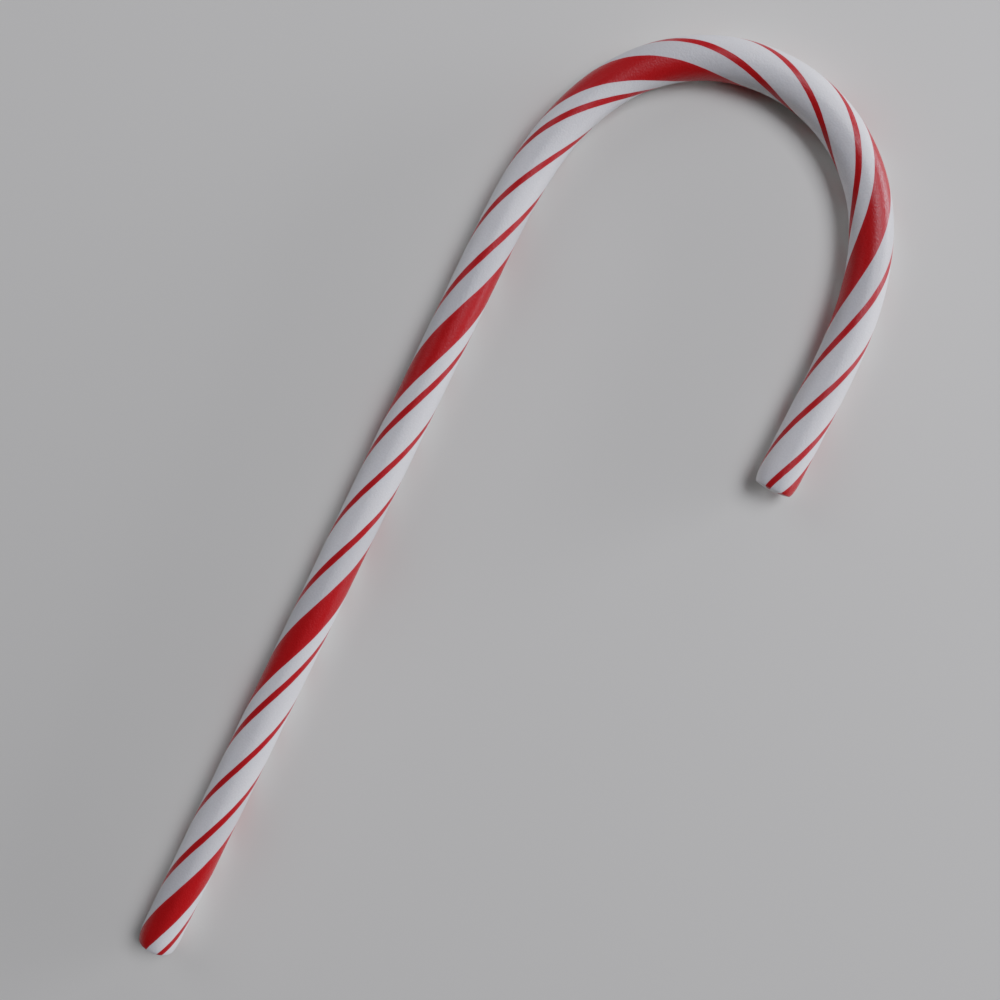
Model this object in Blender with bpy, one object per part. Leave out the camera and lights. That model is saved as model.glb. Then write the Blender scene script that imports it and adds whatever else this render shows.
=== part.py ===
"""Candy cane: a rod of pulled sugar with one end bent over into a hook, lying on its side.

Metres, +Z up. The straight shaft runs along +Y, and the hook turns over towards +X and comes back
down beside it. The whole rod lies in one level plane and rests on a narrow flat along its underside.
The origin is on the ground, in the middle of the rod's outline.
"""

import math

import bmesh
import bpy
from mathutils import Vector

# The rod
ROD_DIAMETER = 0.0064
SHAFT_LENGTH = 0.1199  # straight run, from the foot's end to where the hook starts to turn
TIP_LENGTH = 0.0129  # straight run after the hook, to the tip's end

# The hook: its curvature grows evenly, holds, then fades evenly, so the bend has no abrupt start
HOOK_TURN = math.pi
BEND_EASE = 0.0341  # length over which the curvature grows, and the same again to fade
BEND_HOLD = 0.0446  # length that keeps the tightest curvature

# Both ends of the rod: a long soft shoulder, then a nearly flat face
SHOULDER_LENGTH = 0.0031
SHOULDER_DEPTH = 0.0006
FACE_RISE = 0.00035

# The underside
FLAT_DEPTH = 0.00005  # how much of the rod's round is missing where it rests

# How finely the solid is faceted
ROD_SIDES = 32
SHAFT_STEPS = 14
BEND_STEPS = 60
TIP_STEPS = 3
SHOULDER_STEPS = 6
FACE_RINGS = (0.8, 0.5, 0.2)  # rings on an end face, as shares of its radius
HEADING_SLICES = 20  # straight slices that each step of the bend is summed from
WELD_DISTANCE = 0.00001

SUGAR_COLOUR = (0.80, 0.80, 0.82, 1.0)
SUGAR_ROUGHNESS = 0.35

ROD_RADIUS = ROD_DIAMETER / 2
BEND_LENGTH = 2 * BEND_EASE + BEND_HOLD
ROD_LENGTH = SHAFT_LENGTH + BEND_LENGTH + TIP_LENGTH
TIGHTEST_CURVATURE = HOOK_TURN / (BEND_EASE + BEND_HOLD)


def clear_scene():
    for obj in list(bpy.data.objects):
        bpy.data.objects.remove(obj)


def new_collection(name):
    collection = bpy.data.collections.new(name)
    bpy.context.scene.collection.children.link(collection)
    return collection


def pulled_sugar():
    material = bpy.data.materials.new("pulled_sugar")
    material.use_nodes = True
    shader = material.node_tree.nodes["Principled BSDF"]
    shader.inputs["Base Color"].default_value = SUGAR_COLOUR
    shader.inputs["Roughness"].default_value = SUGAR_ROUGHNESS
    shader.inputs["Metallic"].default_value = 0.0
    return material


def curvature(distance):
    """Curvature of the rod's centre line, at a distance along it from the foot."""
    into_bend = distance - SHAFT_LENGTH
    out_of_bend = BEND_LENGTH - into_bend
    eased = min(into_bend, out_of_bend) / BEND_EASE
    return TIGHTEST_CURVATURE * min(max(eased, 0.0), 1.0)


def end_rings():
    """Rings of the foot's rounded end, from its face inwards: (distance from the end, radius)."""
    face_radius = ROD_RADIUS - SHOULDER_DEPTH
    rings = [(FACE_RISE * share**2, face_radius * share) for share in reversed(FACE_RINGS)]
    for step in range(SHOULDER_STEPS + 1):
        angle = math.pi / 2 * step / SHOULDER_STEPS
        distance = FACE_RISE + SHOULDER_LENGTH * (1 - math.cos(angle))
        rings.append((distance, face_radius + SHOULDER_DEPTH * math.sin(angle)))
    return rings


def ring_stations():
    """(distance from the foot, radius) of every ring of the rod."""
    foot = end_rings()
    tip = [(ROD_LENGTH - distance, radius) for distance, radius in reversed(foot)]
    runs = (
        (foot[-1][0], SHAFT_LENGTH, SHAFT_STEPS),
        (SHAFT_LENGTH, SHAFT_LENGTH + BEND_LENGTH, BEND_STEPS),
        (SHAFT_LENGTH + BEND_LENGTH, tip[0][0], TIP_STEPS),
    )
    between = [
        (start + (end - start) * step / steps, ROD_RADIUS)
        for start, end, steps in runs
        for step in range(1, steps + 1)
    ]
    return foot + between[:-1] + tip


def centre_line(distances):
    """Points of the centre line at these distances, found by summing short slices along the heading."""
    points = []
    position = Vector((0.0, 0.0, 0.0))
    heading = 0.0
    reached = 0.0
    for distance in distances:
        slice_length = (distance - reached) / HEADING_SLICES
        for index in range(HEADING_SLICES):
            turn = slice_length * curvature(reached + slice_length * (index + 0.5))
            middle = heading + turn / 2
            position += slice_length * Vector((math.sin(middle), math.cos(middle), 0.0))
            heading += turn
        reached = distance
        points.append(position.copy())
    return points


def centred(points):
    """The same points, moved so that the rod's outline is centred and it sinks by the flat's depth."""
    side = (points[0].x + points[-1].x) / 2
    top = max(point.y for point in points) + ROD_RADIUS
    move = Vector((-side, -top / 2, ROD_RADIUS - FLAT_DEPTH))
    return [point + move for point in points]


def rod_curve():
    stations = ring_stations()
    points = centred(centre_line([distance for distance, _ in stations]))
    curve = bpy.data.curves.new("rod", "CURVE")
    curve.dimensions = "3D"
    curve.bevel_depth = ROD_RADIUS
    curve.bevel_resolution = ROD_SIDES // 2 - 2
    curve.use_fill_caps = True
    spline = curve.splines.new("POLY")
    spline.points.add(len(points) - 1)
    for control, point, (_, radius) in zip(spline.points, points, stations):
        control.co = (*point, 1.0)
        control.radius = radius / ROD_RADIUS
    return bpy.data.objects.new("rod_curve", curve)


def mesh_from_curve(guide, name, collection):
    """A closed mesh object of the curve, which is then removed."""
    bpy.context.scene.collection.objects.link(guide)
    graph = bpy.context.evaluated_depsgraph_get()
    mesh = bpy.data.meshes.new_from_object(guide.evaluated_get(graph))
    bm = bmesh.new()
    bm.from_mesh(mesh)
    bmesh.ops.remove_doubles(bm, verts=bm.verts, dist=WELD_DISTANCE)
    bmesh.ops.recalc_face_normals(bm, faces=bm.faces)
    bm.to_mesh(mesh)
    bm.free()
    mesh.name = name
    obj = bpy.data.objects.new(name, mesh)
    obj.matrix_world = guide.matrix_world
    collection.objects.link(obj)
    bpy.data.objects.remove(guide)
    return obj


def ground_cutter(collection):
    """A slab whose top face is the ground, wider and longer than the rod's outline."""
    size = (ROD_LENGTH, ROD_LENGTH, ROD_DIAMETER)
    mesh = bpy.data.meshes.new("ground_cutter")
    bm = bmesh.new()
    bmesh.ops.create_cube(bm, size=1.0)
    bmesh.ops.scale(bm, vec=size, verts=bm.verts)
    bmesh.ops.translate(bm, vec=(0.0, 0.0, -ROD_DIAMETER / 2), verts=bm.verts)
    bm.to_mesh(mesh)
    bm.free()
    cutter = bpy.data.objects.new("ground_cutter", mesh)
    cutter.hide_render = True
    cutter.display_type = "WIRE"
    collection.objects.link(cutter)
    return cutter


def main():
    clear_scene()
    parts = new_collection("candy_cane")
    cutters = new_collection("cutters")
    cane = mesh_from_curve(rod_curve(), "cane", parts)
    cane.data.materials.clear()
    cane.data.materials.append(pulled_sugar())
    cane.data.shade_smooth()
    flat = cane.modifiers.new("resting_flat", "BOOLEAN")
    flat.operation = "DIFFERENCE"
    flat.object = ground_cutter(cutters)


main()
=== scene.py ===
import math

import bmesh
import bpy
from mathutils import Matrix, Vector


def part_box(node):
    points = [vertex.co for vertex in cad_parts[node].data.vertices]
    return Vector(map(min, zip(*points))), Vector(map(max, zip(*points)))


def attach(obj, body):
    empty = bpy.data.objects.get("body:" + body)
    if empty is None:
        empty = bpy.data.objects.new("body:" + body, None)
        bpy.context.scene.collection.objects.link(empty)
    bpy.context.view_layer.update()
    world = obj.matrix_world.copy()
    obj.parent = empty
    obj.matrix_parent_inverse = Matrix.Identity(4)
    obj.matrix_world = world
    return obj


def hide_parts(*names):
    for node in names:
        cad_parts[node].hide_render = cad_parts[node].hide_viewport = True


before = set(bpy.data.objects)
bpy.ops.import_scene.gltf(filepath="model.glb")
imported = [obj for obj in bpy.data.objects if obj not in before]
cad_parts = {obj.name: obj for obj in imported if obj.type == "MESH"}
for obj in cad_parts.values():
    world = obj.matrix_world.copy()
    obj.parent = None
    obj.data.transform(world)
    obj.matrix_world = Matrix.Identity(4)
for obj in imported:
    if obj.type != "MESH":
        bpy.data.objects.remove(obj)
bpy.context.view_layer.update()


# ---------------------------------------------------------------------------
# The striped batch
# A thick white batch of pulled sugar with red strips laid along it, rolled and
# drawn out into a thin straight rod. Its cut ends are soft and slump round.

RESTING_FLAT = 0.00005  # how much of the rod's round is missing where it rests
cane_low, cane_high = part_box("cane")
rod_radius = (cane_high.z + RESTING_FLAT) / 2

SHAFT_LENGTH = 0.1199
BEND_EASE = 0.0341
BEND_HOLD = 0.0446
TIP_LENGTH = 0.0129
bend_length = 2 * BEND_EASE + BEND_HOLD
rod_length = SHAFT_LENGTH + bend_length + TIP_LENGTH

SHOULDER_LENGTH = 0.0031
SHOULDER_DEPTH = 0.0006
FACE_RISE = 0.00035
SHOULDER_STEPS = 12
FACE_RINGS = (0.0, 0.25, 0.5, 0.7, 0.82, 0.92)
RING_SPACING = 0.00042
COLUMN_WIDTH = math.radians(3.2)
WELD_DISTANCE = 0.000001

# The red strips round the batch: (how far behind the wide one, how wide), in degrees
RED_STRIPS = ((0.0, 71.0), (99.1, 18.4), (188.9, 16.9), (278.5, 18.2))
DYE_DEPTH = 0.0010  # how deep the red goes, which only the cut ends show
FULL_TURN = 360.0


def end_outline():
    """(distance from the end, radius) from the middle of the foot's face out to the full rod."""
    face_radius = rod_radius - SHOULDER_DEPTH
    points = [(FACE_RISE * share**2, face_radius * share) for share in FACE_RINGS]
    for step in range(SHOULDER_STEPS + 1):
        angle = math.pi / 2 * step / SHOULDER_STEPS
        distance = FACE_RISE + SHOULDER_LENGTH * (1 - math.cos(angle))
        points.append((distance, face_radius + SHOULDER_DEPTH * math.sin(angle)))
    return points


def lay_outline(bm, direction):
    """Half of the straight rod's outline, lying along +Y, with its long side cut into short steps."""
    foot = end_outline()
    tip = [(rod_length - distance, radius) for distance, radius in reversed(foot)]
    verts = [
        bm.verts.new(radius * direction + Vector((0.0, distance, 0.0)))
        for distance, radius in foot + tip
    ]
    edges = [bm.edges.new(pair) for pair in zip(verts, verts[1:])]
    long_side = edges[len(foot) - 1]
    cuts = round(long_side.calc_length() / RING_SPACING) - 1
    bmesh.ops.subdivide_edges(bm, edges=[long_side], cuts=cuts)
    return bm.verts[:] + bm.edges[:]


def colour_runs():
    """How far each red and each white runs round the batch, in degrees, from the wide strip's front."""
    first_behind, first_width = RED_STRIPS[0]
    following_strips = RED_STRIPS[1:] + ((first_behind + FULL_TURN, first_width),)
    runs = []
    for (behind, width), (next_behind, next_width) in zip(RED_STRIPS, following_strips):
        gap = (next_behind - next_width / 2) - (behind + width / 2)
        runs += [width, gap]
    return runs


def depth_into_red(point):
    """How far a point of the surface is inside a red strip, in metres; below zero it is in the white."""
    radius = math.hypot(point.x, point.z)
    angle = -math.degrees(math.atan2(point.x, point.z))
    best = -math.pi * radius
    for behind, width in RED_STRIPS:
        off_centre = abs((angle - behind + FULL_TURN / 2) % FULL_TURN - FULL_TURN / 2)
        best = max(best, math.radians(width / 2 - off_centre) * radius)
    inside_dye = radius - (rod_radius - SHOULDER_DEPTH - DYE_DEPTH)
    return min(best, inside_dye)


def in_greyer_strip(point):
    """1 from the middle of the wide red strip back to the middle of the next one, and 0 elsewhere."""
    angle = -math.degrees(math.atan2(point.x, point.z))
    return float(RED_STRIPS[0][0] < angle < RED_STRIPS[1][0])


def straight_rod():
    """The rod before it is twisted, its columns of faces meeting along the strips' edges."""
    bm = bmesh.new()
    front_edge = math.radians(RED_STRIPS[0][1] / 2)
    column = lay_outline(bm, Vector((math.sin(front_edge), 0.0, math.cos(front_edge))))
    for sweep in colour_runs():
        angle = math.radians(sweep)
        steps = max(2, round(angle / COLUMN_WIDTH))
        spun = bmesh.ops.spin(
            bm, geom=column, cent=(0, 0, 0), axis=(0, 1, 0), angle=-angle, steps=steps,
            use_merge=False, use_duplicate=False,
        )
        column = spun["geom_last"]
    bmesh.ops.remove_doubles(bm, verts=bm.verts, dist=WELD_DISTANCE)
    bmesh.ops.recalc_face_normals(bm, faces=bm.faces)
    return bm


rod = straight_rod()
batch = rod.verts.layers.float_vector.new("batch")
into_red = rod.verts.layers.float.new("into_red")
greyer = rod.verts.layers.float.new("greyer")
for vert in rod.verts:
    vert[batch] = vert.co
    vert[into_red] = depth_into_red(vert.co)
    vert[greyer] = in_greyer_strip(vert.co)


# ---------------------------------------------------------------------------
# Twisting and hooking
# The warm rod is twisted evenly from end to end and cut. One end is then bent over
# a form, where the turns come a little closer together, and the cane is laid down.

TWIST_PITCH = 0.04934
BENT_TWIST_PITCH = 0.04833  # from the start of the bend to the end of its tightest part
WIDE_ON_TOP = 0.05702  # distance from the foot at which the wide strip is on top
HOOK_TURN = math.pi
tightest_curvature = HOOK_TURN / (BEND_EASE + BEND_HOLD)
HEADING_SLICES = 12  # straight slices that each step of the bend is summed from
RING_DECIMALS = 7  # rings are told apart by their distance, rounded this finely


def curvature(distance):
    """Curvature of the rod's centre line, at a distance along it from the foot."""
    into_bend = distance - SHAFT_LENGTH
    out_of_bend = bend_length - into_bend
    eased = min(into_bend, out_of_bend) / BEND_EASE
    return tightest_curvature * min(max(eased, 0.0), 1.0)


def twist(distance):
    """Angle that the rod is twisted by at this distance from the foot."""
    bent = min(max(distance - SHAFT_LENGTH, 0.0), BEND_EASE + BEND_HOLD)
    unbent = distance - bent - WIDE_ON_TOP
    return math.tau * (unbent / TWIST_PITCH + bent / BENT_TWIST_PITCH)


def rings_of(bm):
    """The rod's rings of vertices, by distance from the foot."""
    rings = {}
    for vert in bm.verts:
        rings.setdefault(round(vert.co.y, RING_DECIMALS), []).append(vert)
    return sorted(rings.items())


def bend_over(bm):
    """Turns each ring by the twist, and moves it to its place along the bent centre line."""
    position = Vector((cane_low.x + rod_radius, cane_low.y, rod_radius - RESTING_FLAT))
    heading = 0.0
    reached = 0.0
    for distance, ring in rings_of(bm):
        slice_length = (distance - reached) / HEADING_SLICES
        for index in range(HEADING_SLICES):
            turn = slice_length * curvature(reached + slice_length * (index + 0.5))
            middle = heading + turn / 2
            position += slice_length * Vector((math.sin(middle), math.cos(middle), 0.0))
            heading += turn
        reached = distance
        place = (
            Matrix.Translation(position)
            @ Matrix.Rotation(-heading, 4, "Z")
            @ Matrix.Rotation(twist(distance), 4, "Y")
            @ Matrix.Translation((0.0, -distance, 0.0))
        )
        for vert in ring:
            vert.co = place @ vert.co


def rest_on_ground(bm):
    """Flattens what would sink below the ground."""
    below = [vert for vert in bm.verts if vert.co.z < 0.0]
    bmesh.ops.scale(bm, vec=(1.0, 1.0, 0.0), verts=below)


def draw_in_to_frame(bm):
    """Shortens the cane by a hair, as its finer rings reach a little higher than the frame's facets."""
    foot = min(vert.co.y for vert in bm.verts)
    top = max(vert.co.y for vert in bm.verts)
    share = (cane_high.y - cane_low.y) / (top - foot)
    from_foot = Matrix.Translation((0.0, -cane_low.y, 0.0))
    bmesh.ops.scale(bm, vec=(1.0, share, 1.0), space=from_foot, verts=bm.verts)


bend_over(rod)
rest_on_ground(rod)
draw_in_to_frame(rod)
for face in rod.faces:
    face.smooth = True
cane_mesh = bpy.data.meshes.new("candy_cane")
rod.to_mesh(cane_mesh)
rod.free()
candy_cane = bpy.data.objects.new("candy_cane", cane_mesh)
bpy.context.scene.collection.objects.link(candy_cane)


# ---------------------------------------------------------------------------
# The sugar
# Pulled white sugar is full of fine air, so light goes a little way into it. The
# red is the same sugar, dyed. Both have faint drawn lines that follow the twist,
# and a satin skin with a fine grain.

WHITE_SUGAR = (0.81, 0.81, 0.825, 1.0)
CLOUDY_WHITE = (0.77, 0.77, 0.785, 1.0)
GREYER_WHITE = (0.64, 0.64, 0.655, 1.0)  # behind the wide red strip
PINK_BLEED = (0.80, 0.42, 0.43, 1.0)  # dye that has crept into the white
RED_SUGAR = (0.46, 0.0075, 0.0090, 1.0)
THIN_RED = (0.49, 0.015, 0.018, 1.0)  # along a strip's edges

BORDER_BLUR = 0.00004  # half the width over which white turns red
BORDER_WANDER = 0.00010  # how far the border strays from its line
WANDER_SIZE = 0.0008
BLEED_WIDTH = 0.00035
BLEED_STRENGTH = 0.16
THIN_DYE_WIDTH = 0.0006  # dye is thinner this near the border

CLOUD_SIZE = 0.005
CLEAR_BELOW = 0.35  # the noise's value where the clouds begin
CLOUDY_ABOVE = 0.7
DRAWN_OUT = 3.0  # how far clouds and straying borders are drawn out along the rod
LINE_WIDTH = 0.00035
LINE_LENGTH = 0.012
LINE_HEIGHT = 0.0000015
GRAIN_SIZE = 0.00025
GRAIN_HEIGHT = 0.000052
PIT_BELOW = 0.3  # the noise's value at the bottom of the grain
PEAK_ABOVE = 0.7
GRAIN_DARKEST = 0.965
GRAIN_LIGHTEST = 1.04
SMOOTH_ROUGHNESS = 0.30
GRAINY_ROUGHNESS = 0.44

SUGAR_IOR = 1.5
SATIN_SHINE = 0.32
DUSTY_SHEEN = 0.03
SHEEN_ROUGHNESS = 0.30
LIGHT_LET_IN = 0.15
LIGHT_DEPTH = 0.0006
LIGHT_DEPTH_SHARES = (1.0, 0.8, 0.7)  # of red, green and blue

sugar = bpy.data.materials.new("striped_sugar")
sugar.use_nodes = True
sugar_nodes = sugar.node_tree.nodes
sugar_links = sugar.node_tree.links
sugar_shader = sugar_nodes["Principled BSDF"]
sugar_shader.inputs["IOR"].default_value = SUGAR_IOR
sugar_shader.inputs["Specular IOR Level"].default_value = SATIN_SHINE
sugar_shader.inputs["Sheen Weight"].default_value = DUSTY_SHEEN
sugar_shader.inputs["Sheen Roughness"].default_value = SHEEN_ROUGHNESS
sugar_shader.inputs["Subsurface Weight"].default_value = LIGHT_LET_IN
sugar_shader.inputs["Subsurface Scale"].default_value = LIGHT_DEPTH
sugar_shader.inputs["Subsurface Radius"].default_value = LIGHT_DEPTH_SHARES


def sugar_node(kind, values=(), **settings):
    """A new node. A value that is a socket is linked, and any other is set."""
    node = sugar_nodes.new(kind)
    for name, setting in settings.items():
        setattr(node, name, setting)
    for name, value in dict(values).items():
        if isinstance(value, bpy.types.NodeSocket):
            sugar_links.new(value, node.inputs[name])
        else:
            node.inputs[name].default_value = value
    return node


def mixed(share, first, second):
    """A colour that goes from the first to the second as the share goes from 0 to 1."""
    node = sugar_node("ShaderNodeMix", data_type="RGBA")
    # The node has sockets for other kinds of value too, so the colour ones go by their place
    factor, first_colour, second_colour, mixed_colour = 0, 6, 7, 2
    for socket, value in ((factor, share), (first_colour, first), (second_colour, second)):
        if isinstance(value, bpy.types.NodeSocket):
            sugar_links.new(value, node.inputs[socket])
        else:
            node.inputs[socket].default_value = value
    return node.outputs[mixed_colour]


def ranged(value, low, high, to_low=0.0, to_high=1.0):
    """The value, taken smoothly from the range low to high to the range to_low to to_high."""
    node = sugar_node(
        "ShaderNodeMapRange",
        {"Value": value, "From Min": low, "From Max": high, "To Min": to_low, "To Max": to_high},
        interpolation_type="SMOOTHSTEP",
    )
    return node.outputs["Result"]


def noise(place, size, detail=2.0, stretch=1.0):
    """Noise of this grain size, drawn out along the batch by the stretch."""
    frequency = 1.0 / size
    spread = sugar_node(
        "ShaderNodeMapping",
        {"Vector": place, "Scale": (frequency, frequency / stretch, frequency)},
    )
    node = sugar_node(
        "ShaderNodeTexNoise",
        {"Vector": spread.outputs["Vector"], "Scale": 1.0, "Detail": detail},
    )
    return node.outputs["Fac"]


place_in_batch = sugar_node("ShaderNodeAttribute", attribute_name="batch").outputs["Vector"]
depth_in_red = sugar_node("ShaderNodeAttribute", attribute_name="into_red").outputs["Fac"]
share_greyer = sugar_node("ShaderNodeAttribute", attribute_name="greyer").outputs["Fac"]
place_on_cane = sugar_node("ShaderNodeTexCoord").outputs["Object"]

clouds = noise(place_in_batch, CLOUD_SIZE, detail=1.0, stretch=DRAWN_OUT)
drawn_lines = noise(place_in_batch, LINE_WIDTH, detail=2.0, stretch=LINE_LENGTH / LINE_WIDTH)
grain = noise(place_on_cane, GRAIN_SIZE, detail=2.0)
wander = noise(place_in_batch, WANDER_SIZE, detail=1.0, stretch=DRAWN_OUT)

straying = sugar_node(
    "ShaderNodeMath",
    {0: wander, 1: BORDER_WANDER, 2: depth_in_red},
    operation="MULTIPLY_ADD",
).outputs["Value"]
border = sugar_node(
    "ShaderNodeMath", {0: straying, 1: BORDER_WANDER / 2}, operation="SUBTRACT"
).outputs["Value"]
is_red = ranged(border, -BORDER_BLUR, BORDER_BLUR)
bleed = ranged(border, -BLEED_WIDTH, 0.0, 0.0, BLEED_STRENGTH)
full_dye = ranged(border, 0.0, THIN_DYE_WIDTH)

white = mixed(ranged(clouds, CLEAR_BELOW, CLOUDY_ABOVE), WHITE_SUGAR, CLOUDY_WHITE)
both_whites = mixed(share_greyer, white, GREYER_WHITE)
stained_white = mixed(bleed, both_whites, PINK_BLEED)
red = mixed(full_dye, THIN_RED, RED_SUGAR)
stripes = mixed(is_red, stained_white, red)
speckle = ranged(grain, PIT_BELOW, PEAK_ABOVE, GRAIN_DARKEST, GRAIN_LIGHTEST)
speckled = sugar_node("ShaderNodeHueSaturation", {"Color": stripes, "Value": speckle})
sugar_links.new(speckled.outputs["Color"], sugar_shader.inputs["Base Color"])

roughness = ranged(grain, PIT_BELOW, PEAK_ABOVE, SMOOTH_ROUGHNESS, GRAINY_ROUGHNESS)
sugar_links.new(roughness, sugar_shader.inputs["Roughness"])

lined = sugar_node("ShaderNodeBump", {"Strength": 1.0, "Distance": LINE_HEIGHT, "Height": drawn_lines})
grained = sugar_node(
    "ShaderNodeBump",
    {"Strength": 1.0, "Distance": GRAIN_HEIGHT, "Height": grain, "Normal": lined.outputs["Normal"]},
)
sugar_links.new(grained.outputs["Normal"], sugar_shader.inputs["Normal"])

cane_mesh.materials.append(sugar)
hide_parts("cane")
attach(candy_cane, "root")


# ---------------------------------------------------------------------------
# The floor
# A wide sheet of pale matt paper that the cane lies on. It stands for nothing in
# the model, and is there for the pictures alone.

FLOOR_SIZE = 6.0
PALE_PAPER = (0.82, 0.81, 0.745, 1.0)
PAPER_ROUGHNESS = 0.60

floor_mesh = bpy.data.meshes.new("floor")
sheet = bmesh.new()
bmesh.ops.create_grid(sheet, x_segments=1, y_segments=1, size=FLOOR_SIZE / 2)
sheet.to_mesh(floor_mesh)
sheet.free()
floor = bpy.data.objects.new("floor", floor_mesh)
bpy.context.scene.collection.objects.link(floor)

paper = bpy.data.materials.new("pale_floor")
paper.use_nodes = True
paper_shader = paper.node_tree.nodes["Principled BSDF"]
paper_shader.inputs["Base Color"].default_value = PALE_PAPER
paper_shader.inputs["Roughness"].default_value = PAPER_ROUGHNESS
floor_mesh.materials.append(paper)


# ---------------------------------------------------------------------------
# The light
# Soft boxes stand a metre off beyond the hook and to its right: two high ones, and
# low ones that skim the floor. A weaker one on the left lightens the shaded side.

LIGHT_DISTANCE = 1.0
STUDIO_WHITE = (0.99, 1.0, 1.12)
ROOM_WHITE = (1.0, 1.0, 1.0, 1.0)
ROOM_STRENGTH = 0.02


def softbox(name, around, up, width, height, power):
    """A rectangular light facing the cane, in degrees round from +X and up from the floor."""
    around = math.radians(around)
    up = math.radians(up)
    towards = Vector((math.cos(up) * math.cos(around), math.cos(up) * math.sin(around), math.sin(up)))
    lamp = bpy.data.lights.new(name, "AREA")
    lamp.shape = "RECTANGLE"
    lamp.size = width
    lamp.size_y = height
    lamp.energy = power
    lamp.color = STUDIO_WHITE
    box = bpy.data.objects.new(name, lamp)
    box.location = LIGHT_DISTANCE * towards
    box.rotation_euler = towards.to_track_quat("Z", "Y").to_euler()
    bpy.context.scene.collection.objects.link(box)


softbox("high_key", 60.0, 55.0, 0.45, 0.42, 4.3)
softbox("high_side", 30.0, 55.0, 0.45, 0.42, 1.1)
softbox("low_key", 40.0, 7.0, 0.40, 0.18, 3.0)
softbox("low_side", 20.0, 8.0, 0.40, 0.18, 1.3)
softbox("low_back", 80.0, 8.0, 0.40, 0.18, 0.6)
softbox("level_key", 45.0, 3.0, 0.40, 0.09, 3.4)
softbox("level_side", 0.0, 3.0, 0.36, 0.09, 0.9)
softbox("left_back_fill", 160.0, 30.0, 0.45, 0.42, 1.2)

room = bpy.data.worlds.new("studio")
room.use_nodes = True
room_light = room.node_tree.nodes["Background"]
room_light.inputs["Color"].default_value = ROOM_WHITE
room_light.inputs["Strength"].default_value = ROOM_STRENGTH
bpy.context.scene.world = room


# ---------------------------------------------------------------------------
# The camera
# It looks down on the cane from above the middle of it, turned so that the shaft
# slants up to the right and the hook opens towards the lower right.

CAMERA_PLACE = Vector((-0.01015, 0.0268, 0.2123))
CAMERA_TURN = (math.radians(-5.39), math.radians(2.31), math.radians(25.99))
LENS = 50.0
SENSOR_WIDTH = 36.0
NEAREST = 0.01

camera_data = bpy.data.cameras.new("camera")
camera_data.lens = LENS
camera_data.sensor_width = SENSOR_WIDTH
camera_data.clip_start = NEAREST
camera = bpy.data.objects.new("camera", camera_data)
camera.location = CAMERA_PLACE
camera.rotation_euler = CAMERA_TURN
bpy.context.scene.collection.objects.link(camera)
bpy.context.scene.camera = camera
bpy.context.scene.view_settings.view_transform = "Filmic"  # keeps the highlights soft

bpy.context.view_layer.update()
